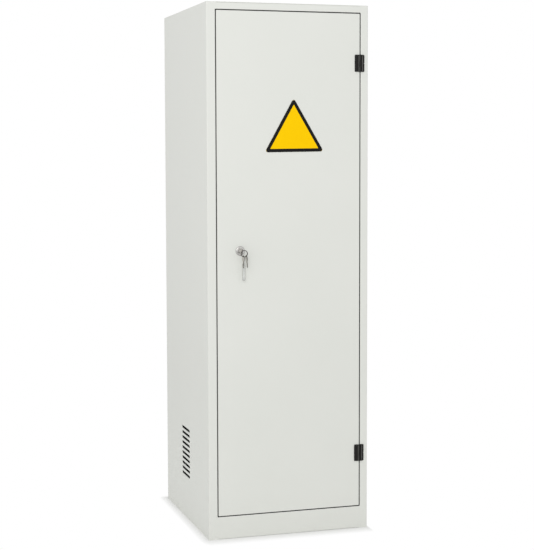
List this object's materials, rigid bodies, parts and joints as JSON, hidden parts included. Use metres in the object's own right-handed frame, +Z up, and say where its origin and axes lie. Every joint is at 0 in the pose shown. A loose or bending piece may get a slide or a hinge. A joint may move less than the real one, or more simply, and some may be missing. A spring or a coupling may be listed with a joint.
{
  "type": "gas cylinder cabinet",
  "caption": "Tall light grey sheet steel cabinet for gas cylinders, with a flush keyed door on black external hinges, a rod lock and low ventilation slots.",
  "frame": {"origin": "middle of the footprint, on the floor, on the underside of the floor bearer", "axes": "X to the right seen from the door, Y away from the door, Z up"},
  "size_m": [0.6, 0.6859, 1.9],
  "materials": {
    "grey_coat": "light grey powder coat, fine orange peel, satin",
    "black_cast": "black coated die-cast zinc, satin",
    "bright_steel": "nickel plated, bright",
    "zinc_steel": "zinc plated steel",
    "black_rubber": "matt rubber",
    "grey_plastic": "moulded nylon, matt",
    "pale_plastic": "pale flexible plastic",
    "sign_yellow": "yellow plate with a black border, satin"
  },
  "bodies": {
    "carcass": {"left_side_panel": "grey_coat", "right_side_panel": "grey_coat", "back_panel": "grey_coat", "top_panel": "grey_coat", "header_rail": "grey_coat", "plinth_front": "grey_coat", "floor_panel": "grey_coat", "floor_bearer": "grey_coat", "retaining_rail": "grey_coat", "left_saddle": "grey_coat", "right_saddle": "grey_coat", "left_hook": "zinc_steel", "middle_hook": "zinc_steel", "right_hook": "zinc_steel", "upper_buffer": "black_rubber", "lower_buffer": "black_rubber", "upper_frame_leaf": "black_cast", "upper_hinge_pin": "bright_steel", "upper_frame_screw_low": "zinc_steel", "upper_frame_screw_high": "zinc_steel", "lower_frame_leaf": "black_cast", "lower_hinge_pin": "bright_steel", "lower_frame_screw_low": "zinc_steel", "lower_frame_screw_high": "zinc_steel"},
    "door": {"door_panel": "grey_coat", "middle_stiffener": "grey_coat", "hinge_side_stiffener": "grey_coat", "sign_plate": "sign_yellow", "lock_housing": "bright_steel", "lock_nut": "zinc_steel", "upper_door_leaf": "black_cast", "upper_door_screw_low": "zinc_steel", "upper_door_screw_high": "zinc_steel", "upper_tip_guide": "grey_plastic", "upper_middle_guide": "grey_plastic", "lower_door_leaf": "black_cast", "lower_door_screw_low": "zinc_steel", "lower_door_screw_high": "zinc_steel", "lower_tip_guide": "grey_plastic", "lower_middle_guide": "grey_plastic"},
    "lock_plug": {"lock_plug": "bright_steel", "lock_cam": "zinc_steel", "cam_screw": "zinc_steel"},
    "upper_rod": {"upper_rod": "zinc_steel"},
    "lower_rod": {"lower_rod": "zinc_steel"},
    "key": {"key": "bright_steel"},
    "key_ring": {"key_ring": "bright_steel"},
    "spare_keys": {"spare_key": "bright_steel", "second_key": "bright_steel", "key_tag": "pale_plastic"}
  },
  "joints": [
    {"name": "door_hinge", "type": "hinge", "parent": "carcass", "child": "door", "pos_m": [0.2695, -0.329, 0.98], "axis": [0, 0, 1], "range_deg": [0, 110]},
    {"name": "lock_turn", "type": "hinge", "parent": "door", "child": "lock_plug", "pos_m": [-0.1808, -0.325, 1.0299], "axis": [0, -1, 0], "range_deg": [0, 90]},
    {"name": "upper_rod_slide", "type": "slide", "parent": "door", "child": "upper_rod", "axis": [0, 0, 1], "range_m": [0, 0.02546]},
    {"name": "lower_rod_slide", "type": "slide", "parent": "door", "child": "lower_rod", "axis": [0, 0, -1], "range_m": [0, 0.02546]},
    {"name": "key_slide", "type": "slide", "parent": "lock_plug", "child": "key", "axis": [0, -1, 0], "range_m": [0, 0.03]},
    {"name": "ring_turn", "type": "hinge", "parent": "key", "child": "key_ring", "pos_m": [-0.1808, -0.3494, 1.0299], "axis": [0, -1, 0], "range_deg": [-90, 0]},
    {"name": "spare_swing", "type": "hinge", "parent": "key_ring", "child": "spare_keys", "pos_m": [-0.17267, -0.3494, 1.01027], "axis": [1, 0, 0], "range_deg": [-12, 10]}
  ],
  "couplings": [
    {"joint": "lock_turn", "follows": "upper_rod_slide", "rad_per_m": 61.706},
    {"joint": "lower_rod_slide", "follows": "upper_rod_slide", "ratio": 1},
    {"joint": "ring_turn", "follows": "upper_rod_slide", "rad_per_m": -61.706}
  ]
}
